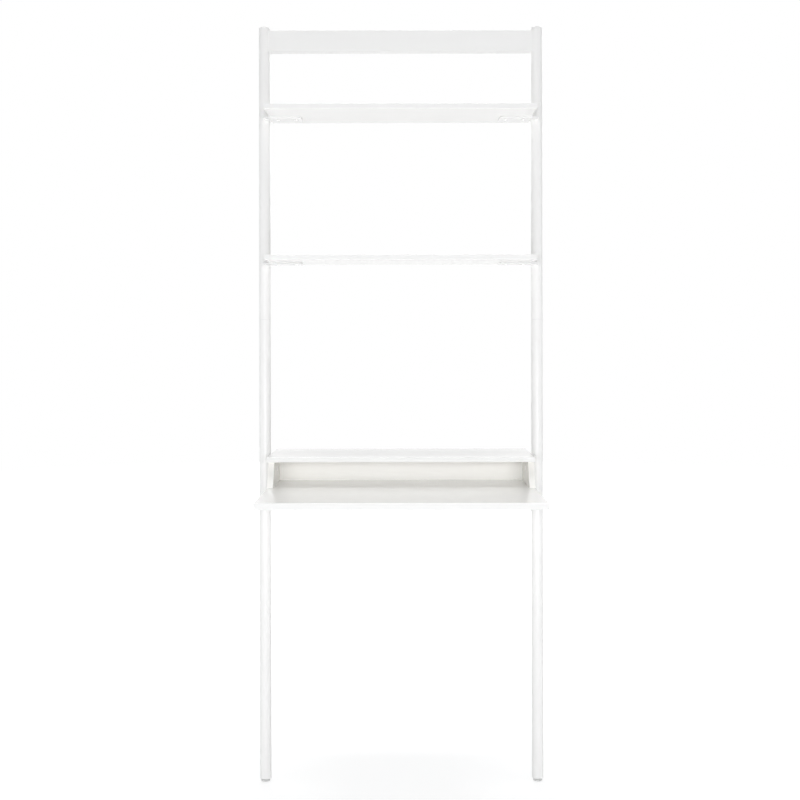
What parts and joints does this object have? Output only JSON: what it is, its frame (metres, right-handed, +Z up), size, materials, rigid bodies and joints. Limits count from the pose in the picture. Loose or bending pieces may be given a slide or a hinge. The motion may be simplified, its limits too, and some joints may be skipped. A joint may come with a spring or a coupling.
{
  "type": "ladder desk",
  "caption": "Leaning ladder desk with round steel posts, a flat top rail, slim shelves, a low hutch with raked sides and a deep desktop.",
  "frame": {"origin": "on the floor, midway between the posts and midway between the wall plane and the desktop's front edge", "axes": "+Z up, +Y towards the wall, front of the desk faces -Y, +X to the right as seen from the front"},
  "size_m": [0.703, 0.45, 1.861],
  "materials": {
    "white_steel": "fine white powder coat",
    "white_board": "white semi-gloss lacquer on fibreboard",
    "white_plastic": "moulded, satin",
    "grey_rubber": "matt",
    "zinc_steel": "bright zinc plate",
    "beech": "raw beech"
  },
  "bodies": {
    "frame": {"bracket_screws": "zinc_steel", "cam_bolts": "zinc_steel", "cam_locks": "zinc_steel", "desk_arm_left": "white_steel", "desk_arm_right": "white_steel", "desk_gusset_left": "white_steel", "desk_gusset_right": "white_steel", "desk_rail": "white_steel", "desk_screws": "zinc_steel", "desktop": "white_board", "foot_insert_left": "white_plastic", "foot_insert_right": "white_plastic", "hutch_back": "white_board", "hutch_dowels": "beech", "hutch_screws": "zinc_steel", "hutch_side_left": "white_board", "hutch_side_right": "white_board", "hutch_top": "white_board", "lower_post_left": "white_steel", "lower_post_right": "white_steel", "lower_shelf": "white_board", "lower_tab_left": "white_steel", "lower_tab_right": "white_steel", "post_cap_left": "white_plastic", "post_cap_right": "white_plastic", "shelf_screws": "white_steel", "splice_screws": "zinc_steel", "splice_sleeve_left": "zinc_steel", "splice_sleeve_right": "zinc_steel", "top_rail": "white_steel", "upper_post_left": "white_steel", "upper_post_right": "white_steel", "upper_shelf": "white_board", "upper_tab_left": "white_steel", "upper_tab_right": "white_steel", "wall_bracket_left": "white_steel", "wall_bracket_right": "white_steel"},
    "left_leveller": {"level_stud_left": "zinc_steel"},
    "right_leveller": {"level_stud_right": "zinc_steel"},
    "left_pad": {"glide_pad_left": "grey_rubber"},
    "right_pad": {"glide_pad_right": "grey_rubber"}
  },
  "joints": [
    {"name": "left_level", "type": "slide", "parent": "frame", "child": "left_leveller", "axis": [0, -0.0872, -0.9962], "range_m": [0, 0.008]},
    {"name": "left_swivel", "type": "hinge", "parent": "left_leveller", "child": "left_pad", "pos_m": [-0.3375, 0.0317, 0.0048], "axis": [1, 0, 0], "range_deg": [-5, 5]},
    {"name": "right_level", "type": "slide", "parent": "frame", "child": "right_leveller", "axis": [0, -0.0872, -0.9962], "range_m": [0, 0.008]},
    {"name": "right_swivel", "type": "hinge", "parent": "right_leveller", "child": "right_pad", "pos_m": [0.3375, 0.0317, 0.0048], "axis": [1, 0, 0], "range_deg": [-5, 5]}
  ]
}
